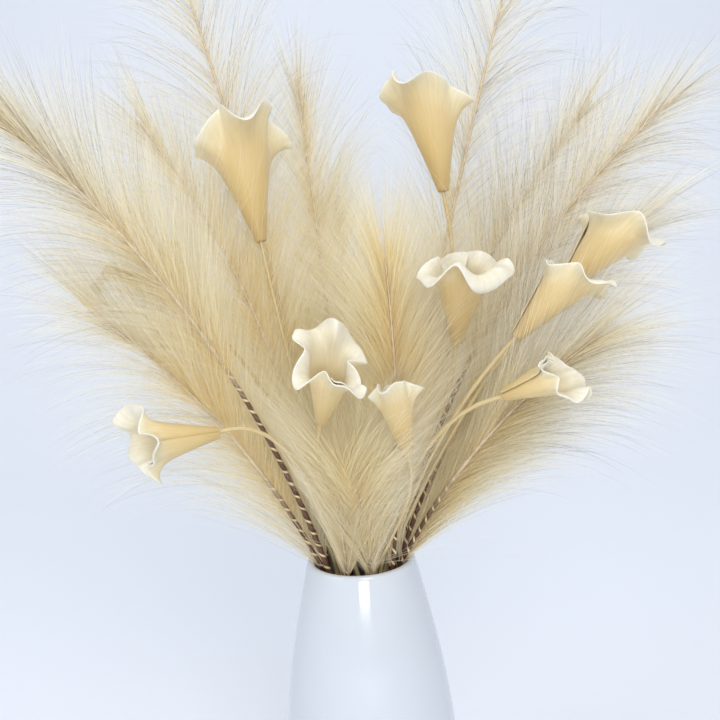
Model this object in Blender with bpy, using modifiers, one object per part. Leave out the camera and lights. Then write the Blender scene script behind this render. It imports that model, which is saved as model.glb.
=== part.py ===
"""A bunch of reed plumes and calla lilies standing in a white glazed vase.

Metres, +Z up. The origin is the middle of the vase's foot, and the bunch faces -Y.
Every stem stands on the vase's floor, passes its mouth, and bends outwards to its flower.
"""

import math

import bmesh
import bpy
from mathutils import Vector

# Vase: one turned ceramic wall with a rounded lip and a flat foot.
VASE_HEIGHT = 0.210
FOOT_RADIUS = 0.036
BODY_RADIUS = 0.050
BODY_AT = 0.085
MOUTH_RADIUS = 0.031
WALL = 0.0045
FLOOR = 0.012
VASE_STEPS = 26

# Stems: where they stand in the vase, and how thick they are.
REED_STEM_RADIUS = 0.0016
LILY_STEM_RADIUS = 0.0014
FLOOR_SPREAD = 1.4
TWIST_DEG = 30
RIM_DROP = 0.006
CLEARANCE = 0.0006

# Plume of a reed: the dense core of its hair, from where it thickens to the tip.
PLUME_SIDES = 10
PLUME_RINGS = 9

# Spathe of a lily: one petal rolled into a trumpet, with a longer lip on one side.
SPATHE_LENGTH = 0.060
SPATHE_TUBE = 0.0045
SPATHE_MOUTH = 0.020
SPATHE_WALL = 0.0012
SPATHE_FLARE = 1.7
LIP_LENGTH = 0.010
LIP_CURL = 0.006
WAVE_HEIGHT = 0.0030
STEM_IN_SPATHE = 0.006

# Reeds, anticlockwise from the right: name, where the stem passes the mouth (degrees round, and
# out from the middle), lean to the right in degrees, reach from the mouth seen from the front,
# depth of the tip behind the middle, bow off the chord, bare length above the mouth, and half
# width and half depth of the plume.
REEDS = (
    ("far_right", 20, 0.0215, 39.5, 0.355, 0.045, 0.062, 0.120, 0.014, 0.009),
    ("high_right", 36, 0.0215, 32.5, 0.330, 0.082, 0.046, 0.095, 0.014, 0.009),
    ("tall_right", 54, 0.0215, 18.5, 0.445, 0.130, 0.008, 0.090, 0.015, 0.010),
    ("back_middle", 82, 0.0215, -1.0, 0.238, 0.160, 0.000, 0.070, 0.014, 0.009),
    ("back_left", 108, 0.0215, -5.0, 0.315, 0.115, 0.008, 0.080, 0.014, 0.009),
    ("tall_left", 134, 0.0215, -14.5, 0.440, 0.085, 0.020, 0.090, 0.015, 0.010),
    ("high_left", 158, 0.0215, -24.5, 0.310, 0.040, 0.044, 0.085, 0.014, 0.009),
    ("low_left", 196, 0.0215, -41.5, 0.235, -0.030, 0.032, 0.055, 0.012, 0.008),
    ("far_left", 216, 0.0215, -34.0, 0.335, -0.040, 0.050, 0.125, 0.014, 0.009),
    ("front_left", 248, 0.0215, -11.0, 0.085, -0.044, 0.004, 0.012, 0.006, 0.0055),
    ("front_centre", 284, 0.0215, -1.0, 0.085, -0.052, 0.000, 0.012, 0.007, 0.006),
    ("front_middle", 321, 0.0215, 5.5, 0.205, -0.020, -0.012, 0.055, 0.010, 0.007),
    ("low_right", 348, 0.0215, 44.5, 0.207, -0.060, 0.026, 0.055, 0.012, 0.008),
    ("side_right", 5, 0.0215, 43.5, 0.272, 0.002, 0.050, 0.065, 0.012, 0.008),
)

# Lilies, anticlockwise from the right: name, where the stem passes the mouth as above, the
# spathe's base (right, behind, above the mouth), its lean to the right and nod to the front in
# degrees, the turn of its lip about its own length in degrees, and its size beside a full one.
LILIES = (
    ("right_end", 354, 0.0145, (0.109, -0.023, 0.143), 46, 4, 30, 0.74),
    ("upper_right", 48, 0.0120, (0.060, 0.032, 0.199), -14, 2, 160, 0.90),
    ("upper_left", 162, 0.0120, (-0.044, 0.012, 0.177), -8, 0, 200, 0.93),
    ("left_side", 186, 0.0145, (-0.077, 0.006, 0.137), -45, 11, 180, 0.82),
    ("lower_left", 230, 0.0165, (-0.065, -0.048, 0.089), -104, 15, 270, 0.66),
    ("front_left", 262, 0.0145, (-0.016, -0.042, 0.088), 20, 28, 250, 0.67),
    ("middle", 290, 0.0085, (0.023, 0.011, 0.095), -16, 11, 90, 0.65),
    ("front_right", 299, 0.0150, (0.028, -0.046, 0.068), -16, 16, 300, 0.60),
    ("lower_right", 316, 0.0145, (0.073, -0.060, 0.100), 76, 22, 330, 0.53),
    ("right_inner", 325, 0.0096, (0.058, -0.012, 0.119), -2, 31, 0, 0.80),
    ("right_side", 338, 0.0145, (0.083, -0.045, 0.125), 44, 12, 20, 0.69),
)


def clear_scene():
    for old in list(bpy.data.objects):
        bpy.data.objects.remove(old, do_unlink=True)


def material(name, colour, roughness):
    made = bpy.data.materials.new(name)
    made.use_nodes = True
    shader = made.node_tree.nodes["Principled BSDF"]
    shader.inputs["Base Color"].default_value = (*colour, 1.0)
    shader.inputs["Roughness"].default_value = roughness
    return made


def add_object(name, data, finish, collection):
    """Links the data as an object in the collection, with its own material."""
    data.materials.append(finish)
    made = bpy.data.objects.new(name, data)
    collection.objects.link(made)
    return made


def add_mesh(name, shape, finish, collection):
    """Makes an object from a bmesh, shaded smooth with its sharp edges kept."""
    mesh = bpy.data.meshes.new(name)
    shape.to_mesh(mesh)
    shape.free()
    mesh.shade_smooth()
    mesh.set_sharp_from_angle(angle=math.radians(50))
    return add_object(name, mesh, finish, collection)


def bezier(points, count):
    """Evenly stepped points on the Bezier curve of these control points, ends included."""
    degree = len(points) - 1
    made = []
    for step in range(count):
        t = step / (count - 1)
        weights = [math.comb(degree, i) * t**i * (1 - t) ** (degree - i) for i in range(degree + 1)]
        made.append(sum((weight * Vector(p) for weight, p in zip(weights, points)), Vector((0, 0, 0))))
    return made


# ---------------------------------------------------------------- vase
def wall_outline():
    """Radius and height down the outer wall, from the lip to the foot."""
    shoulder = bezier(
        (
            (MOUTH_RADIUS, 0, VASE_HEIGHT - WALL / 2),
            (0.0385, 0, 0.175),
            (BODY_RADIUS, 0, 0.130),
            (BODY_RADIUS, 0, BODY_AT),
        ),
        7,
    )
    belly = bezier(
        (
            (BODY_RADIUS, 0, BODY_AT),
            (BODY_RADIUS, 0, 0.045),
            (0.042, 0, 0.018),
            (FOOT_RADIUS, 0, 0.003),
        ),
        6,
    )
    return [(point.x, point.z) for point in shoulder + belly[1:]]


def build_vase(collection):
    lip = WALL / 2
    outer = wall_outline()
    inner = [(x - WALL, z) for x, z in outer if z > FLOOR + 0.004][::-1]
    middle = MOUTH_RADIUS - lip
    top = [
        (middle + lip * math.cos(math.radians(a)), VASE_HEIGHT - lip + lip * math.sin(math.radians(a)))
        for a in (130, 90, 50)
    ]
    profile = [(0, FLOOR), (inner[0][0] - 0.006, FLOOR)] + inner + top + outer
    profile += [(FOOT_RADIUS - 0.002, 0), (0, 0)]
    shape = bmesh.new()
    made = [shape.verts.new((x, 0, z)) for x, z in profile]
    for first, second in zip(made, made[1:]):
        shape.edges.new((first, second))
    finish = material("glaze", (0.80, 0.82, 0.86), 0.12)
    vase = add_mesh("vase", shape, finish, collection)
    turn = vase.modifiers.new("Turn", "SCREW")
    turn.axis = "Z"
    turn.angle = math.tau
    turn.steps = VASE_STEPS
    turn.render_steps = VASE_STEPS
    turn.use_merge_vertices = True
    turn.merge_threshold = 0.0001
    turn.use_smooth_shade = True


# ---------------------------------------------------------------- stems
def ring_point(radius, turn_deg, height):
    angle = math.radians(turn_deg)
    return Vector((radius * math.cos(angle), radius * math.sin(angle), height))


def stem_inside(ring, slot_deg, heading, count):
    """Points from the vase's floor up to the mouth. All stems turn the same way, so none cross."""
    foot = ring_point(ring * FLOOR_SPREAD, slot_deg + TWIST_DEG, FLOOR + 0.003)
    rim = ring_point(ring, slot_deg, VASE_HEIGHT - RIM_DROP)
    return bezier((foot, foot.lerp(rim, 0.4), rim - heading * 0.022, rim), count)


def add_stem(name, points, radius, finish, collection):
    curve = bpy.data.curves.new(name, "CURVE")
    curve.dimensions = "3D"
    curve.bevel_depth = radius
    curve.bevel_resolution = 1
    curve.use_fill_caps = True
    spline = curve.splines.new("POLY")
    spline.points.add(len(points) - 1)
    for point, place in zip(spline.points, points):
        point.co = (*place, 1.0)
    add_object(name, curve, finish, collection)


def lengths_along(points):
    total = [0.0]
    for first, second in zip(points, points[1:]):
        total.append(total[-1] + (second - first).length)
    return total


def place_at(points, lengths, distance):
    """The point at this distance along the points, and the direction there."""
    last = len(points) - 2
    index = next((i for i in range(last) if lengths[i + 1] >= distance), last)
    step = points[index + 1] - points[index]
    share = (distance - lengths[index]) / step.length
    return points[index] + step * share, step.normalized()


# ---------------------------------------------------------------- reeds
def reed_path(slot, ring, lean_deg, reach, depth, bow):
    """The reed's line above the mouth, from the rim to the tip of its plume."""
    rim = ring_point(ring, slot, VASE_HEIGHT - RIM_DROP)
    lean = math.radians(lean_deg)
    tip = Vector((reach * math.sin(lean), depth, VASE_HEIGHT - RIM_DROP + reach * math.cos(lean)))
    inward = Vector((math.cos(lean), 0, -math.sin(lean))) * math.copysign(1, -lean_deg)
    middle = (rim + tip) / 2 + inward * bow
    return bezier((rim, middle, tip), 60)


def add_plume(name, path, start, half_width, half_depth, finish, collection):
    """A round spindle stretched along the reed, flat from front to back, down to its tip."""
    lengths = lengths_along(path)
    shape = bmesh.new()
    bmesh.ops.create_uvsphere(shape, u_segments=PLUME_SIDES, v_segments=PLUME_RINGS, radius=1.0)
    for vert in shape.verts:
        share = (vert.co.z + 1) / 2
        place, along = place_at(path, lengths, start + (lengths[-1] - start) * share)
        across = along.cross(Vector((0, 1, 0))).normalized()
        behind = along.cross(across)
        vert.co = place + across * vert.co.x * half_width + behind * vert.co.y * half_depth
    add_mesh(name, shape, finish, collection)


def build_reeds(collection):
    stem_finish = material("reed stem", (0.16, 0.08, 0.04), 0.6)
    plume_finish = material("plume", (0.80, 0.66, 0.42), 0.8)
    for name, slot, ring, lean, reach, depth, bow, bare, half_width, half_depth in REEDS:
        path = reed_path(slot, ring, lean, reach, depth, bow)
        lengths = lengths_along(path)
        inside = stem_inside(ring, slot, (path[1] - path[0]).normalized(), 7)
        outside = [place_at(path, lengths, bare * step / 5)[0] for step in range(1, 6)]
        add_stem("reed_stem_" + name, inside + outside, REED_STEM_RADIUS, stem_finish, collection)
        start = bare + CLEARANCE
        add_plume("plume_" + name, path, start, half_width, half_depth, plume_finish, collection)


# ---------------------------------------------------------------- lilies
def lily_axis(lean_deg, nod_deg):
    lean, nod = math.radians(lean_deg), math.radians(nod_deg)
    return Vector((math.sin(lean) * math.cos(nod), -math.sin(nod), math.cos(lean) * math.cos(nod)))


def spathe_point(along, turn, size):
    """A point of the trumpet in its own frame: base at the origin, axis +Z, lip towards +X."""
    lip = max(0.0, math.cos(turn)) ** 2
    flare = (SPATHE_MOUTH - SPATHE_TUBE) * along**SPATHE_FLARE + LIP_CURL * along**5 * lip
    radius = SPATHE_TUBE + size * flare
    rise = SPATHE_LENGTH * along + along**3 * (LIP_LENGTH * lip - LIP_CURL * (1 - lip))
    height = size * (rise + WAVE_HEIGHT * along**4 * math.sin(3 * turn + 0.6))
    return Vector((radius * math.cos(turn), radius * math.sin(turn), height))


def add_spathe(name, base, axis, spin_deg, size, finish, collection):
    rings, sides = 6, 10
    turn_to_place = Vector((0, 0, 1)).rotation_difference(axis).to_matrix()
    spin = math.radians(spin_deg)
    shape = bmesh.new()
    bmesh.ops.create_grid(shape, x_segments=rings, y_segments=sides, size=0.5)
    for vert in shape.verts:
        point = spathe_point(vert.co.x + 0.5, vert.co.y * math.tau + math.pi, size)
        turned = Vector(
            (
                point.x * math.cos(spin) - point.y * math.sin(spin),
                point.x * math.sin(spin) + point.y * math.cos(spin),
                point.z,
            )
        )
        vert.co = base + turn_to_place @ turned
    bmesh.ops.remove_doubles(shape, verts=shape.verts, dist=0.0001)
    bmesh.ops.recalc_face_normals(shape, faces=shape.faces)
    made = add_mesh(name, shape, finish, collection)
    wall = made.modifiers.new("Wall", "SOLIDIFY")
    wall.thickness = SPATHE_WALL
    wall.offset = 0


def build_lilies(collection):
    stem_finish = material("lily stem", (0.55, 0.58, 0.34), 0.5)
    spathe_finish = material("spathe", (0.86, 0.77, 0.58), 0.55)
    for name, slot, ring, place, lean, nod, spin, size in LILIES:
        base = Vector((place[0], place[1], place[2] + VASE_HEIGHT))
        axis = lily_axis(lean, nod)
        rim = ring_point(ring, slot, VASE_HEIGHT - RIM_DROP)
        top = base + axis * STEM_IN_SPATHE
        reach = (base - rim).length
        bend = base - axis * reach * 0.28
        outside = bezier((rim, rim.lerp(bend, 0.5) + Vector((0, 0, 0.01)), bend, top), 7)
        inside = stem_inside(ring, slot, (outside[1] - outside[0]).normalized(), 5)
        add_stem("lily_stem_" + name, inside + outside[1:], LILY_STEM_RADIUS, stem_finish, collection)
        add_spathe("spathe_" + name, base, axis, spin, size, spathe_finish, collection)


clear_scene()
bunch = bpy.data.collections.new("bunch of reeds")
bpy.context.scene.collection.children.link(bunch)
build_vase(bunch)
build_reeds(bunch)
build_lilies(bunch)
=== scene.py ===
import math

import bmesh
import bpy
import numpy as np
from mathutils import Matrix, Vector


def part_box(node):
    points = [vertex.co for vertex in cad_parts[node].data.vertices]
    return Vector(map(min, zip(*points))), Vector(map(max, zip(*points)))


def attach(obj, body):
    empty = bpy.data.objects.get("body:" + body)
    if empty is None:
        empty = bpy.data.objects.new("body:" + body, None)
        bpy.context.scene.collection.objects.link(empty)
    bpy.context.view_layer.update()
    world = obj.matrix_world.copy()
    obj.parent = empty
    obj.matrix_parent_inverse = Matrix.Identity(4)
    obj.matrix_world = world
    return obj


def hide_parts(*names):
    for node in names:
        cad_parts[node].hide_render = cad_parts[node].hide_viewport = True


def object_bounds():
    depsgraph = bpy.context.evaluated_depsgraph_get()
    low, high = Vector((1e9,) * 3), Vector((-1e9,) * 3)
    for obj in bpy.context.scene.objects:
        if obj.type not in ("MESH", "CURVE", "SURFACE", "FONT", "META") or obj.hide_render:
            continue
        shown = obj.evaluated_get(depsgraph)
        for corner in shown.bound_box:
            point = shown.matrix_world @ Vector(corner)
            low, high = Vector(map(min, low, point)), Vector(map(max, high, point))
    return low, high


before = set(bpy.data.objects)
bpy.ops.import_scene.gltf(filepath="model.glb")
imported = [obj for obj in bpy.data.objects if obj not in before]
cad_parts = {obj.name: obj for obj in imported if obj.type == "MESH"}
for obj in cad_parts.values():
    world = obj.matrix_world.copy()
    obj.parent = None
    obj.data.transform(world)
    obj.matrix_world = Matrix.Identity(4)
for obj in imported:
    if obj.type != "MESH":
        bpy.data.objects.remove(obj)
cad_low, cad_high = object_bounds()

# ------------------------------------------------------------------ the vase
# A slip-cast ceramic vase with a narrow mouth, white glazed inside and out. The lip is rounded
# by the glaze, and the foot is wiped flat so that it stands.
WALL = 0.0045
MOUTH_RADIUS = 0.031
FOOT_RADIUS = 0.036
FLOOR_HEIGHT = 0.012
FLOOR_CORNER = 0.006
FLOOR_RADIUS = 0.016
FOOT_ROUNDING = 0.002
FOOT_TOP = 0.003
BELLY_RADIUS = 0.042
BELLY_STARTS = 0.018
BELLY_FULL = 0.045
BELLY_ENDS = 0.085
SHOULDER_STARTS = 0.130
NECK_RADIUS = 0.0385
NECK_HEIGHT = 0.175
VASE_SIDES = 40

_, vase_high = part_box("vase")
vase_top = vase_high[2]
body_radius = vase_high[0]


def curve_through(handles, count):
    """Evenly stepped points of the Bezier curve with these handles, ends included."""
    handles = np.array(handles, float)
    steps = np.linspace(0, 1, count)[:, None]
    degree = len(handles) - 1
    return sum(
        math.comb(degree, i) * steps**i * (1 - steps) ** (degree - i) * handle
        for i, handle in enumerate(handles)
    )


def vase_profile():
    """Radius and height from the foot, up the outside, over the lip, and down to the floor inside."""
    belly = curve_through(
        [
            (FOOT_RADIUS, FOOT_TOP),
            (BELLY_RADIUS, BELLY_STARTS),
            (body_radius, BELLY_FULL),
            (body_radius, BELLY_ENDS),
        ],
        7,
    )
    shoulder = curve_through(
        [
            (body_radius, BELLY_ENDS),
            (body_radius, SHOULDER_STARTS),
            (NECK_RADIUS, NECK_HEIGHT),
            (MOUTH_RADIUS, vase_top - WALL / 2),
        ],
        9,
    )
    outside = np.vstack([belly, shoulder[1:]])
    around = np.radians([35, 65, 90, 115, 145])
    middle = MOUTH_RADIUS - WALL / 2
    lip = np.column_stack(
        [middle + WALL / 2 * np.cos(around), vase_top - WALL / 2 + WALL / 2 * np.sin(around)]
    )
    inside = outside[outside[:, 1] > FLOOR_HEIGHT + FLOOR_CORNER][::-1] - (WALL, 0)
    foot = [(FOOT_RADIUS - FOOT_ROUNDING, 0), (FOOT_RADIUS - 0.0006, 0.0008)]
    floor = [(inside[-1][0] - FLOOR_CORNER, FLOOR_HEIGHT + 0.001), (FLOOR_RADIUS, FLOOR_HEIGHT)]
    return np.vstack([foot, outside, lip, inside, floor])


def start_piece(name, add_primitive, **sizes):
    """Deselects everything and adds one primitive under this name, ready for edit mode."""
    bpy.ops.object.select_all(action="DESELECT")
    add_primitive(**sizes)
    made = bpy.context.object
    made.name = name
    made.data.name = name
    return made


def finish_with(piece, kind, **settings):
    """Adds a modifier to the piece and applies it."""
    modifier = piece.modifiers.new(kind.title(), kind)
    for name, value in settings.items():
        setattr(modifier, name, value)
    bpy.context.view_layer.objects.active = piece
    bpy.ops.object.modifier_apply(modifier=modifier.name)


def turn_vase():
    """The foot's disc drawn up ring by ring along the profile, then smoothed."""
    profile = vase_profile()
    vase = start_piece(
        "vase_glazed",
        bpy.ops.mesh.primitive_circle_add,
        vertices=VASE_SIDES,
        radius=profile[0][0],
        fill_type="NGON",
    )
    bpy.ops.object.mode_set(mode="EDIT")
    bpy.ops.mesh.select_all(action="SELECT")
    for (radius, height), (next_radius, next_height) in zip(profile, profile[1:]):
        bpy.ops.mesh.extrude_region_move(
            TRANSFORM_OT_translate={"value": (0, 0, next_height - height)}
        )
        grow = next_radius / radius
        bpy.ops.transform.resize(value=(grow, grow, 1), center_override=(0, 0, next_height))
    bpy.ops.mesh.select_all(action="SELECT")
    bpy.ops.mesh.normals_make_consistent(inside=False)
    bpy.ops.object.mode_set(mode="OBJECT")
    finish_with(vase, "SUBSURF", levels=2, render_levels=2)
    bpy.ops.object.shade_smooth()
    return vase


def node_after(nodes, kind, **values):
    """Adds a shader node and sets its inputs and its own settings by name."""
    made = nodes.new(kind)
    for name, value in values.items():
        label = name.replace("_", " ").title()
        if label in made.inputs:
            made.inputs[label].default_value = value
        else:
            setattr(made, name, value)
    return made


def new_finish(name, roughness):
    """A Principled material with this roughness: its material, nodes, links and shader."""
    finish = bpy.data.materials.new(name)
    finish.use_nodes = True
    nodes, links = finish.node_tree.nodes, finish.node_tree.links
    shader = nodes["Principled BSDF"]
    shader.inputs["Roughness"].default_value = roughness
    return finish, nodes, links, shader


def ramp_of(nodes, stops):
    """A colour ramp with these (place, (r, g, b)) stops."""
    ramp = nodes.new("ShaderNodeValToRGB")
    while len(ramp.color_ramp.elements) < len(stops):
        ramp.color_ramp.elements.new(0.5)
    for element, (place, colour) in zip(ramp.color_ramp.elements, stops):
        element.position = place
        element.color = (*colour, 1)
    return ramp


def glaze_finish():
    """White glaze: even gloss, a faint pooling of tone, and the slight waviness of the clay."""
    finish, nodes, links, shader = new_finish("white glaze", 0.10)
    place = nodes.new("ShaderNodeTexCoord")
    tone = node_after(nodes, "ShaderNodeTexNoise", scale=9.0, detail=2.0, roughness=0.5)
    colour = ramp_of(nodes, [(0.3, (0.56, 0.60, 0.65)), (0.7, (0.59, 0.63, 0.68))])
    waves = node_after(nodes, "ShaderNodeTexNoise", scale=22.0, detail=1.0, roughness=0.4)
    specks = node_after(nodes, "ShaderNodeTexNoise", scale=900.0, detail=1.0, roughness=0.5)
    gloss = node_after(nodes, "ShaderNodeMapRange", to_min=0.07, to_max=0.16)
    bump = node_after(nodes, "ShaderNodeBump", strength=0.12, distance=0.0006)
    for noise in (tone, waves, specks):
        links.new(place.outputs["Object"], noise.inputs["Vector"])
    links.new(tone.outputs["Fac"], colour.inputs["Fac"])
    links.new(colour.outputs["Color"], shader.inputs["Base Color"])
    links.new(specks.outputs["Fac"], gloss.inputs["Value"])
    links.new(gloss.outputs["Result"], shader.inputs["Roughness"])
    links.new(waves.outputs["Fac"], bump.inputs["Height"])
    links.new(bump.outputs["Normal"], shader.inputs["Normal"])
    shader.inputs["Specular IOR Level"].default_value = 0.55
    shader.inputs["Coat Weight"].default_value = 0.35
    shader.inputs["Coat Roughness"].default_value = 0.04
    return finish


vase = turn_vase()
vase.data.materials.append(glaze_finish())
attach(vase, "root")
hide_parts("vase")

# ------------------------------------------------------------------ the reed stems
# Each reed is a thin brown cane with cream strands of its own hair wound round it like a cord.
# It stands on the vase's floor, passes close inside the mouth, and thins towards the plume's tip.
REEDS = sorted(
    name.removeprefix("plume_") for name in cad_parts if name.startswith("plume_")
)
CANE_RADIUS = 0.0019
CANE_TIP_RADIUS = 0.0004
STRAND_TURN = 0.0075
CANE_TURNS = 60
PLUME_CLOSES = 0.03
CANE_SHORT = 0.030
CANE_SIDES = 10
CANE_EVERY = 2
STRAND_RIDGE = 0.08
HAIR_START = 0.004
STEPS_PER_METRE = 1000
LINE_STEP = 1 / STEPS_PER_METRE
CURVE_STEPS = 24
CANE_RING = 0.004
SAME_POINT = 0.00002
WELD = 0.00001


def ring_middles(node_name, first_ring):
    """The middle of each ring of a CAD tube or spindle, from its lower end to its upper end.

    The first ring is every point within this distance of the lowest one.
    """
    shape = bmesh.new()
    shape.from_mesh(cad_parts[node_name].data)
    bmesh.ops.remove_doubles(shape, verts=shape.verts, dist=SAME_POINT)
    lowest = min(shape.verts, key=lambda vert: vert.co.z)
    ring = [vert for vert in shape.verts if (vert.co - lowest.co).length <= first_ring]
    seen, middles = set(), []
    while ring:
        middles.append(sum((vert.co for vert in ring), Vector()) / len(ring))
        seen.update(ring)
        ring = list({edge.other_vert(v) for v in ring for edge in v.link_edges} - seen)
    shape.free()
    return np.array(middles)


def smooth_line(points, spacing):
    """Points evenly spaced along a smooth curve through the given ones."""
    knots = np.vstack([2 * points[0] - points[1], points, 2 * points[-1] - points[-2]])
    steps = np.linspace(0, 1, CURVE_STEPS, endpoint=False)[:, None]
    made = []
    for a, b, c, d in zip(knots, knots[1:], knots[2:], knots[3:]):
        made.append(
            0.5
            * (
                2 * b
                + (c - a) * steps
                + (2 * a - 5 * b + 4 * c - d) * steps**2
                + (3 * b - a - 3 * c + d) * steps**3
            )
        )
    line = np.vstack(made + [points[-1:]])
    along = np.concatenate([[0], np.cumsum(np.linalg.norm(np.diff(line, axis=0), axis=1))])
    wanted = np.linspace(0, along[-1], max(2, round(along[-1] / spacing)))
    return np.column_stack([np.interp(wanted, along, line[:, i]) for i in range(3)])


def frames_along(line):
    """Direction, sideways and backward unit vectors at each point of a line."""
    ahead = np.gradient(line, axis=0)
    ahead /= np.linalg.norm(ahead, axis=1)[:, None]
    across = np.cross(ahead, (0, 1, 0))
    across /= np.linalg.norm(across, axis=1)[:, None]
    return ahead, across, np.cross(ahead, across)


def tube_along(name, line, radii, sides):
    """A flat grid rolled into a tube round the line. Its UV map runs along and around it."""
    tube = start_piece(
        name,
        bpy.ops.mesh.primitive_grid_add,
        x_subdivisions=len(line) - 1,
        y_subdivisions=sides,
        size=1,
    )
    mesh = tube.data
    flat = np.empty(len(mesh.vertices) * 3)
    mesh.vertices.foreach_get("co", flat)
    flat = flat.reshape(-1, 3)
    ring = np.rint((flat[:, 0] + 0.5) * (len(line) - 1)).astype(int)
    turn = (flat[:, 1] + 0.5) * math.tau
    _, across, behind = frames_along(line)
    width = radii(ring / (len(line) - 1), turn)[:, None]
    placed = line[ring] + width * (
        across[ring] * np.cos(turn)[:, None] + behind[ring] * np.sin(turn)[:, None]
    )
    mesh.vertices.foreach_set("co", placed.ravel())
    bpy.ops.object.mode_set(mode="EDIT")
    bpy.ops.mesh.select_all(action="SELECT")
    bpy.ops.mesh.remove_doubles(threshold=WELD)
    bpy.ops.mesh.select_all(action="DESELECT")
    bpy.ops.mesh.select_non_manifold()
    bpy.ops.mesh.edge_face_add()
    bpy.ops.mesh.select_all(action="SELECT")
    bpy.ops.mesh.normals_make_consistent(inside=False)
    bpy.ops.object.mode_set(mode="OBJECT")
    bpy.ops.object.shade_smooth()
    return tube


def cane_finish():
    """Brown cane with cream strands wound round it, hidden by golden hair roots in the plume."""
    finish, nodes, links, shader = new_finish("wound cane", 0.55)
    place = nodes.new("ShaderNodeUVMap")
    split = nodes.new("ShaderNodeSeparateXYZ")
    slant = node_after(nodes, "ShaderNodeMath", operation="ADD")
    wound = node_after(nodes, "ShaderNodeMath", operation="FRACT")
    object_place = nodes.new("ShaderNodeTexCoord")
    fleck = node_after(nodes, "ShaderNodeTexNoise", scale=300.0, detail=3.0, roughness=0.6)
    stray = node_after(nodes, "ShaderNodeTexNoise", scale=70.0, detail=2.0, roughness=0.6)
    shift = node_after(nodes, "ShaderNodeMath", operation="MULTIPLY_ADD")
    shift.inputs[1].default_value = 0.7
    height = node_after(nodes, "ShaderNodeMath", operation="MULTIPLY_ADD")
    height.inputs[1].default_value = 0.5
    strands = ramp_of(
        nodes,
        [
            (0.0, (0.075, 0.030, 0.014)),
            (0.40, (0.13, 0.060, 0.028)),
            (0.66, (0.09, 0.040, 0.018)),
            (0.72, (0.58, 0.43, 0.24)),
            (0.86, (0.78, 0.64, 0.40)),
            (0.93, (0.09, 0.040, 0.018)),
        ],
    )
    roots = ramp_of(nodes, [(0.3, (0.48, 0.38, 0.25)), (0.7, (0.66, 0.56, 0.40))])
    in_plume = nodes.new("ShaderNodeAttribute")
    in_plume.attribute_name = "in_plume"
    whole = nodes.new("ShaderNodeMix")
    whole.data_type = "RGBA"
    bump = node_after(nodes, "ShaderNodeBump", strength=0.5, distance=0.0003)
    links.new(place.outputs["UV"], split.inputs["Vector"])
    links.new(split.outputs["X"], slant.inputs[0])
    links.new(split.outputs["Y"], slant.inputs[1])
    links.new(object_place.outputs["Object"], stray.inputs["Vector"])
    links.new(object_place.outputs["Object"], fleck.inputs["Vector"])
    links.new(stray.outputs["Fac"], shift.inputs[0])
    links.new(slant.outputs["Value"], shift.inputs[2])
    links.new(shift.outputs["Value"], wound.inputs[0])
    links.new(fleck.outputs["Fac"], height.inputs[0])
    links.new(wound.outputs["Value"], height.inputs[2])
    links.new(wound.outputs["Value"], strands.inputs["Fac"])
    links.new(fleck.outputs["Fac"], roots.inputs["Fac"])
    links.new(in_plume.outputs["Fac"], whole.inputs["Factor"])
    links.new(strands.outputs["Color"], whole.inputs["A"])
    links.new(roots.outputs["Color"], whole.inputs["B"])
    links.new(whole.outputs["Result"], shader.inputs["Base Color"])
    links.new(height.outputs["Value"], bump.inputs["Height"])
    links.new(bump.outputs["Normal"], shader.inputs["Normal"])
    return finish


def cane_radius(share, turn):
    """Thins from foot to tip, with the wound strands standing up as two low ridges."""
    thinned = np.clip(share * 1.05 - 0.05, 0, 1) ** 1.6
    taper = CANE_RADIUS + (CANE_TIP_RADIUS - CANE_RADIUS) * thinned
    return taper * (1 + STRAND_RIDGE * np.cos(turn + share * CANE_TURNS * math.tau))


def wind_strands(cane, line, bare_end):
    """The UV map counts turns of the strands, and an attribute says where the plume hides them."""
    length = CANE_EVERY * LINE_STEP * len(line)
    uv = cane.data.uv_layers.active.data
    flat = np.empty(len(uv) * 2)
    uv.foreach_get("uv", flat)
    flat[0::2] *= length / STRAND_TURN
    uv.foreach_set("uv", flat)
    places = np.empty(len(cane.data.vertices) * 3)
    cane.data.vertices.foreach_get("co", places)
    hidden = np.clip((places[2::3] - bare_end) / PLUME_CLOSES + 0.5, 0, 1)
    layer = cane.data.attributes.new("in_plume", "FLOAT", "POINT")
    layer.data.foreach_set("value", hidden)


# Where the hairs of each reed may leave it, and how much of that lies below its plume.
hair_lines = {}
bare_lengths = {}
wound_cane = cane_finish()
for reed in REEDS:
    cane_middles = ring_middles("reed_stem_" + reed, CANE_RING)
    plume_middles = ring_middles("plume_" + reed, 0.0)
    middles = np.vstack([cane_middles, plume_middles[1:]])
    whole_line = smooth_line(middles, LINE_STEP)
    hair_lines[reed] = whole_line[whole_line[:, 2] > vase_top - HAIR_START]
    plume_foot = cane_middles[-1][2]
    bare_lengths[reed] = LINE_STEP * np.count_nonzero(hair_lines[reed][:, 2] < plume_foot)
    cane_line = whole_line[: len(whole_line) - round(CANE_SHORT * STEPS_PER_METRE)][::CANE_EVERY]
    cane = tube_along("cane_" + reed, cane_line, cane_radius, CANE_SIDES)
    wind_strands(cane, cane_line, plume_foot)
    cane.data.materials.append(wound_cane)
    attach(cane, "root")
    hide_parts("reed_stem_" + reed)

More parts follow.
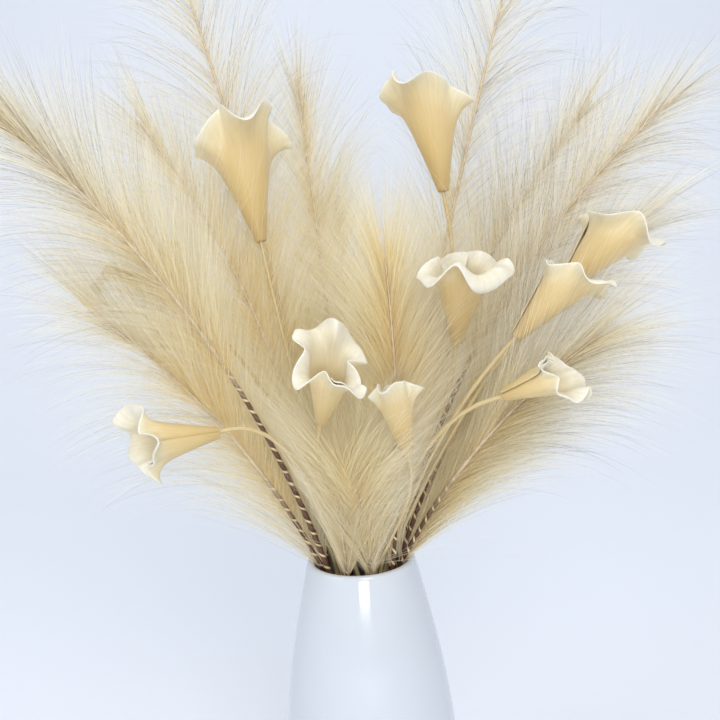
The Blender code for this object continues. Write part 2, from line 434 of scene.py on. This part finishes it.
# ------------------------------------------------------------------ the plumes
# A plume is thousands of fine silky hairs that leave the cane on both sides like the barbs of a
# feather. They hang together in wisps, arch outwards under their own weight, and close to a
# brush at the tip. Down to the vase's mouth the cane carries only thin hair.
HAIR_STATIONS = 8
HAIR_WIDTH = 0.00016
HAIR_ROOT = 0.0008
HAIR_LENGTH = 0.084
HAIR_SAG = 0.70
WISP_HAIRS = 6
WISP_CLOSES = 0.30
FLAT_SHARE = 0.55
FORWARD_TURN = -0.35
BRUSH_LENGTH = 0.046
BRUSH_REACHES = [0.02, 0.12]
SPREAD_PLACES = [0.03, 0.06, 0.11, 0.24, 0.36]
SPREAD_DEGREES = [6, 17, 33, 38, 27]
FULL_REED = 0.25
THIN_TOP = 0.45
ROOT_TRIES = 6
FIRST_SEED = 40
# Middle and reach of the painted golden shade in the dense heart of the bunch.
PAINTED_SHADE_HEART = (-0.02, 0.0, 0.34)
PAINTED_SHADE_REACH = (0.14, 0.17, 0.19)

# Soft ends may stand this far out of the bunch's box: a share of each side, and a length more.
HAIR_ROOM = 0.028
HAIR_STAND = 0.009

# Canes that show bare below their plume, and how far to each side the hair is combed off them.
BARE_CANES = {"far_left": 0.0035, "far_right": 0.0012}
COMB_START = 12
COMB_SLANT = 0.09

# Hairs, share of them on the right, fullness of the hair below the plume (0 bare, 1 full), how
# wide the hairs leave beside the usual, and how long they are beside the usual.
DRESSING = {
    "tall_left": (4000, 0.50, 0.8, 1.05, 1.0),
    "high_left": (4400, 0.50, 0.8, 1.08, 1.0),
    "far_left": (4600, 0.40, 0.02, 1.0, 1.0),
    "low_left": (5600, 0.22, 1.0, 1.22, 1.0),
    "back_left": (4600, 0.50, 0.8, 0.95, 1.0),
    "back_middle": (4000, 0.50, 0.8, 0.85, 1.0),
    "front_left": (4200, 0.60, 1.0, 1.0, 1.0),
    "front_centre": (4800, 0.55, 1.0, 1.1, 1.0),
    "front_middle": (4600, 0.50, 0.5, 0.95, 0.95),
    "tall_right": (4000, 0.50, 0.8, 1.05, 1.0),
    "high_right": (4400, 0.50, 0.8, 1.08, 1.0),
    "far_right": (4200, 0.50, 0.5, 1.05, 1.0),
    "side_right": (4800, 0.50, 0.9, 0.95, 1.0),
    "low_right": (5400, 0.42, 1.0, 0.78, 1.0),
}


def hair_roots(draw, wisps, bare, length, fullness):
    """Distances along the reed at which the wisps leave it, fewer of them below the plume."""
    places = draw.random(wisps * ROOT_TRIES) * (length - BRUSH_LENGTH * 0.8)
    upper = np.interp(places / length, [0.45, 1], [1, THIN_TOP])
    keep = np.where(places < bare, fullness, upper) > draw.random(len(places))
    return places[keep][:wisps]


def trimmed(points):
    """Hairs shortened where they would stand out of the room that soft ends have round the bunch."""
    low, high = np.array(cad_low), np.array(cad_high)
    room = HAIR_ROOM * (high - low) + HAIR_STAND
    root = points[:, :1]
    over = (points - root) / np.where(points > root, high + room - root, root - low + room)
    most = np.abs(over).max(axis=(1, 2))[:, None, None]
    return root + (points - root) / np.maximum(most, 1)


def clear_of_canes(points):
    """Which hairs don't hang over a bare cane, where the maker has combed them behind it."""
    kept = np.ones(len(points), bool)
    for reed, gap in BARE_CANES.items():
        line = hair_lines[reed][COMB_START : round(bare_lengths[reed] * STEPS_PER_METRE)]
        cane_x = np.interp(points[:, :, 2], line[:, 2], line[:, 0])
        cane_y = np.interp(points[:, :, 2], line[:, 2], line[:, 1])
        before = cane_y - points[:, :, 1]
        aside = np.abs(points[:, :, 0] - cane_x)
        level = (points[:, :, 2] > line[0, 2]) & (points[:, :, 2] < line[-1, 2])
        over = level & (before > 0) & (aside < gap + COMB_SLANT * before)
        kept &= ~over.any(axis=1)
    return kept


def plume_hairs(line, bare, dressing, seed):
    """Hair paths of one plume, as an array of hairs x stations x 3, and the random source."""
    hairs, right_share, fullness, openness, longness = dressing
    draw = np.random.default_rng(seed)
    length = LINE_STEP * (len(line) - 1)
    ahead, across, behind = frames_along(line)
    place = hair_roots(draw, hairs // WISP_HAIRS, bare, length, fullness)
    wisps = len(place)
    count = wisps * WISP_HAIRS
    side = np.where(draw.random(wisps) < right_share, 1.0, -1.0)
    flat = draw.random(wisps) < FLAT_SHARE
    flat_turn = draw.normal(FORWARD_TURN, 0.5, wisps)
    turn = np.where(flat, flat_turn, draw.uniform(-1.55, 0.9, wisps))
    to_tip = (length - place) / min(1, length / FULL_REED)
    reach = np.interp(to_tip, BRUSH_REACHES, [BRUSH_LENGTH, HAIR_LENGTH])
    reach *= longness * draw.normal(1, 0.10, wisps)
    spread = np.radians(np.interp(to_tip, SPREAD_PLACES, SPREAD_DEGREES))
    low_spread = np.interp(place / length, [0, 0.3], [0.6, 1])
    spread *= draw.normal(1, 0.16, wisps) * openness * low_spread
    sway = draw.normal(0, 0.07, (wisps, 3))
    wisp = np.repeat(np.arange(wisps), WISP_HAIRS)
    place_each = np.clip(place[wisp] + draw.normal(0, 0.0050, count), 0, length - 0.02)
    turn_each = turn[wisp] + draw.normal(0, 0.16, count)
    spread_each = np.clip(spread[wisp] + draw.normal(0, 0.05, count), 0.01, 1.2)
    reach_each = reach[wisp] * np.clip(draw.normal(1, 0.12, count), 0.5, 1.3)
    sway_each = sway[wisp] + draw.normal(0, 0.05, (count, 3))
    index = np.rint(place_each * STEPS_PER_METRE).astype(int)
    out = (
        across[index] * (side[wisp] * np.cos(turn_each))[:, None]
        + behind[index] * np.sin(turn_each)[:, None]
    )
    along = ahead[index]
    low_sag = np.interp(place_each / length, [0, 0.4], [0.35, 1])
    sag = HAIR_SAG * draw.uniform(0.7, 1.25, count) * low_sag
    steps = np.linspace(0, 1, HAIR_STATIONS)
    points = np.empty((count, HAIR_STATIONS, 3))
    points[:, 0] = line[index] + out * HAIR_ROOT
    for k in range(1, HAIR_STATIONS):
        t = steps[k] - 0.5 / (HAIR_STATIONS - 1)
        angle = spread_each * (0.80 + 0.35 * t)
        heading = along * np.cos(angle)[:, None] + out * np.sin(angle)[:, None]
        level = np.hypot(heading[:, 0], heading[:, 1])
        heading = heading + sway_each * t
        heading[:, 2] -= sag * level * t**1.4 * reach_each / HAIR_LENGTH
        heading /= np.linalg.norm(heading, axis=1)[:, None]
        points[:, k] = points[:, k - 1] + heading * (reach_each / (HAIR_STATIONS - 1))[:, None]
    gather = points.reshape(wisps, WISP_HAIRS, HAIR_STATIONS, 3)
    middle = gather.mean(axis=1, keepdims=True)
    pull = (WISP_CLOSES * steps**1.5)[None, None, :, None]
    points = (gather + (middle - gather) * pull).reshape(count, HAIR_STATIONS, 3)
    points = trimmed(points)
    return points[clear_of_canes(points)], draw


def hair_mesh(name, points, draw):
    """Each hair as one thin tapering ribbon, all joined. Its UV map runs root to tip and by hair."""
    count, stations, _ = points.shape
    heading = np.gradient(points, axis=1)
    facing = draw.normal(0, 1, (count, 1, 3))
    edge = np.cross(heading, facing)
    edge /= np.linalg.norm(edge, axis=2)[:, :, None] + 1e-12
    steps = np.linspace(0, 1, stations)
    width = HAIR_WIDTH * draw.uniform(0.7, 1.3, (count, 1)) * (1 - 0.72 * steps**1.3)[None]
    left = points - edge * width[:, :, None] / 2
    right = points + edge * width[:, :, None] / 2
    body = np.stack([left[:, :-1], right[:, :-1]], axis=2).reshape(count, -1, 3)
    verts = np.concatenate([body, points[:, -1:]], axis=1)
    per_hair = verts.shape[1]
    quads = [(2 * k, 2 * k + 1, 2 * k + 3, 2 * k + 2) for k in range(stations - 2)]
    tip = (2 * stations - 4, 2 * stations - 3, 2 * stations - 2)
    pattern = np.array([i for quad in quads for i in quad] + list(tip))
    corners = (pattern[None] + np.arange(count)[:, None] * per_hair).ravel()
    sizes = np.tile([4] * len(quads) + [3], count)
    along = np.concatenate([np.repeat(steps[:-1], 2), steps[-1:]])
    mesh = bpy.data.meshes.new(name)
    mesh.vertices.add(count * per_hair)
    mesh.vertices.foreach_set("co", verts.ravel())
    mesh.loops.add(len(corners))
    mesh.loops.foreach_set("vertex_index", corners)
    mesh.polygons.add(len(sizes))
    mesh.polygons.foreach_set("loop_start", np.concatenate([[0], np.cumsum(sizes)[:-1]]))
    mesh.update(calc_edges=True)
    strand = np.repeat(draw.random(count), len(pattern))
    layer = mesh.uv_layers.new(name="UVMap")
    uv = np.column_stack([np.tile(along[pattern], count), strand])
    layer.data.foreach_set("uv", uv.ravel())
    mesh.shade_smooth()
    return mesh


def tinted(nodes, links, first, second):
    """The two colours multiplied together."""
    tint = nodes.new("ShaderNodeMix")
    tint.data_type = "RGBA"
    tint.blend_type = "MULTIPLY"
    tint.inputs["Factor"].default_value = 1.0
    links.new(first, tint.inputs["A"])
    links.new(second, tint.inputs["B"])
    return tint.outputs["Result"]


def plume_finish():
    """Silky hair, grey cream, with a painted golden shade deepening towards the heart of the bunch.
    Light comes through.
    """
    finish, nodes, links, shader = new_finish("plume hair", 0.45)
    place = nodes.new("ShaderNodeUVMap")
    split = nodes.new("ShaderNodeSeparateXYZ")
    along = ramp_of(
        nodes,
        [
            (0.0, (0.95, 0.88, 0.71)),
            (0.30, (0.96, 0.92, 0.79)),
            (0.65, (0.96, 0.94, 0.87)),
            (1.0, (0.94, 0.94, 0.92)),
        ],
    )
    each = ramp_of(
        nodes,
        [(0.0, (0.24, 0.21, 0.19)), (0.15, (0.56, 0.53, 0.51)), (0.30, (1.0, 1.0, 1.0))],
    )
    each_share = node_after(nodes, "ShaderNodeMapRange", from_max=0.5, to_min=1.0, to_max=0.35)
    object_place = nodes.new("ShaderNodeTexCoord")
    heart = node_after(nodes, "ShaderNodeMapping", vector_type="TEXTURE")
    heart.inputs["Location"].default_value = PAINTED_SHADE_HEART
    heart.inputs["Scale"].default_value = PAINTED_SHADE_REACH
    inwards = node_after(nodes, "ShaderNodeTexGradient", gradient_type="SPHERICAL")
    # Painted shade: the hair is multiplied towards a deeper gold nearer the heart of the bunch.
    gold = ramp_of(
        nodes,
        [(0.0, (1.0, 1.0, 1.0)), (0.35, (1.0, 0.975, 0.88)), (0.8, (1.0, 0.955, 0.79))],
    )
    patch = node_after(nodes, "ShaderNodeTexNoise", scale=16.0, detail=3.0, roughness=0.55)
    patch_tone = ramp_of(nodes, [(0.38, (1.0, 0.97, 0.88)), (0.62, (1.0, 1.0, 1.0))])
    through = nodes.new("ShaderNodeBsdfTranslucent")
    both = nodes.new("ShaderNodeMixShader")
    both.inputs["Fac"].default_value = 0.52
    links.new(place.outputs["UV"], split.inputs["Vector"])
    links.new(split.outputs["X"], along.inputs["Fac"])
    links.new(split.outputs["Y"], each.inputs["Fac"])
    links.new(object_place.outputs["Object"], patch.inputs["Vector"])
    links.new(object_place.outputs["Object"], heart.inputs["Vector"])
    links.new(heart.outputs["Vector"], inwards.inputs["Vector"])
    links.new(inwards.outputs["Fac"], gold.inputs["Fac"])
    links.new(patch.outputs["Fac"], patch_tone.inputs["Fac"])
    strand = tinted(nodes, links, along.outputs["Color"], each.outputs["Color"])
    links.new(inwards.outputs["Fac"], each_share.inputs["Value"])
    links.new(each_share.outputs["Result"], strand.node.inputs["Factor"])
    golden = tinted(nodes, links, strand, gold.outputs["Color"])
    colour = tinted(nodes, links, golden, patch_tone.outputs["Color"])
    links.new(colour, shader.inputs["Base Color"])
    links.new(colour, through.inputs["Color"])
    links.new(shader.outputs["BSDF"], both.inputs[1])
    links.new(through.outputs["BSDF"], both.inputs[2])
    links.new(both.outputs["Shader"], nodes["Material Output"].inputs["Surface"])
    shader.inputs["Specular IOR Level"].default_value = 0.30
    shader.inputs["Sheen Weight"].default_value = 0.25
    shader.inputs["Sheen Roughness"].default_value = 0.4
    return finish


silky_hair = plume_finish()
for number, reed in enumerate(REEDS):
    seed = FIRST_SEED + number
    paths, draw = plume_hairs(hair_lines[reed], bare_lengths[reed], DRESSING[reed], seed)
    mesh = hair_mesh("hair_" + reed, paths, draw)
    mesh.materials.append(silky_hair)
    hair = bpy.data.objects.new("hair_" + reed, mesh)
    bpy.context.collection.objects.link(hair)
    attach(hair, "root")
    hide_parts("plume_" + reed)

# ------------------------------------------------------------------ the lilies
# A calla lily is one thick petal rolled into a trumpet round the top of its stem. One edge laps
# over the other, the rim rolls outwards in waves, and one side draws out into a pointed lip.
LILIES = sorted(
    name.removeprefix("spathe_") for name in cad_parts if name.startswith("spathe_")
)
LILY_STEM_RADIUS = 0.0012
LILY_STEM_RING = 0.0035
LILY_STEM_STEP = 0.004
LILY_STEM_SIDES = 10
STEM_IN_SPATHE = 0.006
SPATHE_HEIGHT = 0.0705
TRUMPET_TUBE = 0.0024
PETAL_LENGTH = 0.068
LIP_LONGER = 0.014
BACK_SHORTER = 0.010
PETAL_THICKNESS = 0.0007
PETAL_LAP = 0.55
LAP_GAP = 0.0006
FLARE_PLACES = [0, 0.12, 0.50, 0.80, 1]
FLARE_DEGREES = [9, 14, 16, 19, 25]
RIM_STARTS = 0.77
RIM_DEGREES = 96
WAVES_START = 0.58
WAVE_DEGREES = 36
PETAL_RINGS = 28
PETAL_SIDES = 64

# Way the lip faces round the flower's length, how far it opens beside the usual, roll of the
# rim, depth of its waves, their start.
HABITS = {
    "upper_right": (235, 1.0, 0.35, 0.8, 0.4),
    "upper_left": (290, 1.0, 0.40, 1.1, 1.2),
    "left_side": (200, 0.9, 0.8, 1.0, 2.0),
    "lower_left": (90, 0.95, 0.8, 1.0, 0.0),
    "front_left": (120, 0.95, 1.0, 1.5, 0.8),
    "middle": (90, 0.9, 0.6, 0.7, 0.3),
    "front_right": (270, 0.66, 0.1, 0.6, 1.9),
    "lower_right": (0, 0.80, 0.5, 1.0, 0.2),
    "right_inner": (285, 1.0, 1.35, 1.2, 1.0),
    "right_side": (300, 0.85, 0.5, 0.7, 2.6),
    "right_end": (300, 0.95, 0.6, 0.9, 1.4),
}


def petal_shape(size, opening, roll, wave, phase):
    """The rolled petal's points by ring and side: base at the origin, axis +Z, lip towards +X.

    The slope away from the axis is added up along the petal: a slim tube, then the flare, then a
    rim that curls right over, more in some places than in others.
    """
    along = np.linspace(0, 1, PETAL_RINGS + 1)[:, None]
    around = np.linspace(-math.pi - PETAL_LAP, math.pi + PETAL_LAP, PETAL_SIDES + 1)[None]
    lip = np.clip(np.cos(around), 0, 1) ** 1.5
    length = size * (PETAL_LENGTH + LIP_LONGER * lip - BACK_SHORTER * (1 - np.cos(around)) / 2)
    flare = opening * np.interp(along, FLARE_PLACES, FLARE_DEGREES)
    rim = np.clip((along - RIM_STARTS) / (1 - RIM_STARTS), 0, 1) ** 1.2
    curl = roll * RIM_DEGREES * rim * (0.55 + 0.6 * lip)
    waved = np.clip((along - WAVES_START) / (1 - WAVES_START), 0, 1) ** 1.4
    ripple = np.sin(4 * around + phase) + 0.6 * np.sin(7 * around + 2.1 * phase)
    ripple = wave * WAVE_DEGREES * waved * ripple
    slope = np.radians(flare + curl + ripple)
    step = length / PETAL_RINGS
    radius = TRUMPET_TUBE + np.cumsum(np.sin(slope) * step, axis=0)
    radius = radius * (1 + 0.05 * around / math.pi) + LAP_GAP * around / math.pi
    height = np.cumsum(np.cos(slope) * step, axis=0)
    return radius * np.cos(around), radius * np.sin(around), height


def roll_petal(name, base, axis, size, turn_deg, *habit):
    """A flat sheet rolled into the trumpet, thickened, smoothed and set on its stem."""
    petal = start_piece(
        name,
        bpy.ops.mesh.primitive_grid_add,
        x_subdivisions=PETAL_RINGS,
        y_subdivisions=PETAL_SIDES,
        size=1,
    )
    mesh = petal.data
    flat = np.empty(len(mesh.vertices) * 3)
    mesh.vertices.foreach_get("co", flat)
    flat = flat.reshape(-1, 3) + 0.5
    ring = np.rint(flat[:, 0] * PETAL_RINGS).astype(int)
    side = np.rint(flat[:, 1] * PETAL_SIDES).astype(int)
    x, y, z = (part[ring, side] for part in petal_shape(size, *habit))
    turn = math.radians(turn_deg)
    upright = np.column_stack(
        [x * math.cos(turn) - y * math.sin(turn), x * math.sin(turn) + y * math.cos(turn), z]
    )
    tip_over = np.array(Vector((0, 0, 1)).rotation_difference(Vector(axis)).to_matrix())
    mesh.vertices.foreach_set("co", (upright @ tip_over.T + base).ravel())
    mesh.update()
    petal.data.materials.append(lit_inside)
    petal.data.materials.append(shaded_outside)
    # The wall's second face, which is the outside, takes the second finish, the one painted in shade.
    finish_with(petal, "SOLIDIFY", thickness=PETAL_THICKNESS, offset=0, material_offset=1)
    finish_with(petal, "SUBSURF", levels=1, render_levels=1)
    bpy.ops.object.shade_smooth()
    return petal


def petal_finish(name, tones):
    """Waxy cream petal with fine veins along it, turning darker gold towards its base as painted
    shade.
    """
    finish, nodes, links, shader = new_finish(name, 0.42)
    place = nodes.new("ShaderNodeUVMap")
    split = nodes.new("ShaderNodeSeparateXYZ")
    along = ramp_of(nodes, tones)
    stretch = node_after(nodes, "ShaderNodeMapping")
    stretch.inputs["Scale"].default_value = (3.0, 60.0, 1.0)
    veins = node_after(nodes, "ShaderNodeTexNoise", scale=1.6, detail=3.0, roughness=0.6)
    vein_tone = ramp_of(nodes, [(0.35, (0.95, 0.92, 0.85)), (0.6, (1.0, 1.0, 1.0))])
    bump = node_after(nodes, "ShaderNodeBump", strength=0.35, distance=0.0004)
    links.new(place.outputs["UV"], split.inputs["Vector"])
    links.new(place.outputs["UV"], stretch.inputs["Vector"])
    links.new(stretch.outputs["Vector"], veins.inputs["Vector"])
    links.new(split.outputs["X"], along.inputs["Fac"])
    links.new(veins.outputs["Fac"], vein_tone.inputs["Fac"])
    colour = tinted(nodes, links, along.outputs["Color"], vein_tone.outputs["Color"])
    links.new(colour, shader.inputs["Base Color"])
    links.new(veins.outputs["Fac"], bump.inputs["Height"])
    links.new(bump.outputs["Normal"], shader.inputs["Normal"])
    shader.inputs["Subsurface Weight"].default_value = 0.25
    shader.inputs["Subsurface Radius"].default_value = (1.0, 0.7, 0.4)
    shader.inputs["Subsurface Scale"].default_value = 0.003
    shader.inputs["Sheen Weight"].default_value = 0.15
    return finish


def green_stem_finish():
    """Smooth fleshy stem, olive below and tan gold where it meets the flower, all darkened as painted
    shade to match the shaded hair round it.
    """
    finish, nodes, links, shader = new_finish("lily stem", 0.4)
    place = nodes.new("ShaderNodeUVMap")
    split = nodes.new("ShaderNodeSeparateXYZ")
    # Painted shade: these stem tones are darkened to match the shaded hair in the bunch.
    tone = ramp_of(
        nodes,
        [(0.0, (0.36, 0.33, 0.16)), (0.4, (0.52, 0.42, 0.24)), (1.0, (0.58, 0.45, 0.23))],
    )
    object_place = nodes.new("ShaderNodeTexCoord")
    grain = node_after(nodes, "ShaderNodeTexNoise", scale=180.0, detail=3.0, roughness=0.6)
    bump = node_after(nodes, "ShaderNodeBump", strength=0.25, distance=0.0003)
    links.new(place.outputs["UV"], split.inputs["Vector"])
    links.new(split.outputs["X"], tone.inputs["Fac"])
    links.new(tone.outputs["Color"], shader.inputs["Base Color"])
    links.new(object_place.outputs["Object"], grain.inputs["Vector"])
    links.new(grain.outputs["Fac"], bump.inputs["Height"])
    links.new(bump.outputs["Normal"], shader.inputs["Normal"])
    return finish


# Painted shade and light: one petal tone in two copies, the outside darker gold as if in shade and
# the inside paler as if lit.
shaded_outside = petal_finish(
    "petal outside",
    [
        (0.0, (0.54, 0.39, 0.17)),
        (0.35, (0.64, 0.48, 0.22)),
        (0.70, (0.68, 0.53, 0.28)),
        (0.90, (0.74, 0.65, 0.44)),
        (1.0, (0.80, 0.75, 0.62)),
    ],
)
lit_inside = petal_finish(
    "petal inside",
    [
        (0.0, (0.60, 0.46, 0.23)),
        (0.50, (0.68, 0.58, 0.37)),
        (0.80, (0.71, 0.65, 0.50)),
        (1.0, (0.75, 0.72, 0.63)),
    ],
)
green_stem = green_stem_finish()
for lily in LILIES:
    middles = ring_middles("lily_stem_" + lily, LILY_STEM_RING)
    axis = middles[-1] - middles[-2]
    axis /= np.linalg.norm(axis)
    base = middles[-1] - axis * STEM_IN_SPATHE
    solid = np.array([vert.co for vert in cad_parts["spathe_" + lily].data.vertices])
    size = ((solid - base) @ axis).max() / SPATHE_HEIGHT
    stem = tube_along(
        "stalk_" + lily,
        smooth_line(middles, LILY_STEM_STEP),
        lambda share, turn: LILY_STEM_RADIUS * (1 - 0.1 * share),
        LILY_STEM_SIDES,
    )
    stem.data.materials.append(green_stem)
    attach(stem, "root")
    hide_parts("lily_stem_" + lily)
    petal = roll_petal("petal_" + lily, base, axis, size, *HABITS[lily])
    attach(petal, "root")
    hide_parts("spathe_" + lily)

# ------------------------------------------------------------------ floor, light and camera
# A pale floor that sweeps up behind, soft light from large lamps, and a view from in front, a
# little above the vase's mouth.
SWEEP_FRONT = -3.0
SWEEP_BACK = 1.7
SWEEP_BEND = 0.8
SWEEP_HEIGHT = 3.2
SWEEP_WIDTH = 9.0


def pale_finish():
    """Matt pale paper with a faint unevenness."""
    finish, nodes, links, shader = new_finish("pale paper", 0.9)
    place = nodes.new("ShaderNodeTexCoord")
    tone = node_after(nodes, "ShaderNodeTexNoise", scale=1.2, detail=2.0, roughness=0.5)
    colour = ramp_of(nodes, [(0.3, (0.75, 0.79, 0.85)), (0.7, (0.78, 0.81, 0.87))])
    links.new(place.outputs["Object"], tone.inputs["Vector"])
    links.new(tone.outputs["Fac"], colour.inputs["Fac"])
    links.new(colour.outputs["Color"], shader.inputs["Base Color"])
    shader.inputs["Specular IOR Level"].default_value = 0.1
    return finish


def sweep_floor():
    """A flat sheet bent up behind the object in one smooth sweep."""
    floor = start_piece(
        "floor", bpy.ops.mesh.primitive_grid_add, x_subdivisions=48, y_subdivisions=4, size=1
    )
    mesh = floor.data
    turn_at = SWEEP_BACK - SWEEP_BEND
    quarter = SWEEP_BEND * math.pi / 2
    run = turn_at - SWEEP_FRONT
    total = run + quarter + SWEEP_HEIGHT
    for vert in mesh.vertices:
        along = (vert.co.x + 0.5) * total
        if along < run:
            y, z = SWEEP_FRONT + along, 0.0
        elif along < run + quarter:
            angle = (along - run) / SWEEP_BEND
            y, z = turn_at + SWEEP_BEND * math.sin(angle), SWEEP_BEND * (1 - math.cos(angle))
        else:
            y, z = SWEEP_BACK, SWEEP_BEND + along - run - quarter
        vert.co = (vert.co.y * SWEEP_WIDTH, y, z)
    mesh.update()
    bpy.ops.object.mode_set(mode="EDIT")
    bpy.ops.mesh.select_all(action="SELECT")
    bpy.ops.mesh.flip_normals()
    bpy.ops.object.mode_set(mode="OBJECT")
    bpy.ops.object.shade_smooth()
    mesh.materials.append(pale_finish())
    return floor


def hang_lamp(name, place, aim, size, power, colour):
    """A rectangular area lamp at this place, turned to what it lights."""
    bpy.ops.object.light_add(type="AREA", location=place)
    lamp = bpy.context.object
    lamp.name = name
    lamp.data.shape = "RECTANGLE"
    lamp.data.size, lamp.data.size_y = size
    lamp.data.energy = power
    lamp.data.color = colour
    lamp.rotation_euler = (Vector(aim) - Vector(place)).to_track_quat("-Z", "Y").to_euler()


floor = sweep_floor()

mouth = Vector((0, 0, vase_top))
middle_of_bunch = (0, 0, vase_top + 0.15)
hang_lamp("window", (0.35, -1.7, 1.45), middle_of_bunch, (0.9, 1.1), 18, (1.0, 0.98, 0.96))
hang_lamp("left softbox", (-1.6, -0.9, 1.3), middle_of_bunch, (1.4, 1.4), 9, (0.98, 0.99, 1.0))
hang_lamp("top softbox", (0.2, 0.4, 2.2), middle_of_bunch, (2.0, 2.0), 15, (0.97, 0.98, 1.0))
hang_lamp("low window", (0.06, -1.5, 0.33), mouth, (0.46, 0.16), 4.5, (1.0, 1.0, 1.0))

room = bpy.data.worlds.new("room")
room.use_nodes = True
room.node_tree.nodes["Background"].inputs["Color"].default_value = (0.92, 0.95, 1.0, 1)
room.node_tree.nodes["Background"].inputs["Strength"].default_value = 0.62
bpy.context.scene.world = room
bpy.context.scene.view_settings.view_transform = "Standard"

CAMERA_RISE_DEG = 21
CAMERA_DISTANCE = 0.522
CAMERA_ASIDE = 0.0062
CAMERA_AIM = 0.1123
CAMERA_ROLL_DEG = 3.5
rise = math.radians(CAMERA_RISE_DEG)
eye = mouth + Vector((0, -math.cos(rise), math.sin(rise))) * CAMERA_DISTANCE
eye.x = CAMERA_ASIDE
aim = Vector((CAMERA_ASIDE, 0, vase_top + CAMERA_AIM))
camera_data = bpy.data.cameras.new("camera")
camera_data.lens = 45
camera_data.sensor_width = 36
camera = bpy.data.objects.new("camera", camera_data)
bpy.context.collection.objects.link(camera)
look = (aim - eye).to_track_quat("-Z", "Y").to_matrix().to_4x4()
roll = Matrix.Rotation(math.radians(-CAMERA_ROLL_DEG), 4, "Z")
camera.matrix_world = Matrix.Translation(eye) @ look @ roll
bpy.context.scene.camera = camera
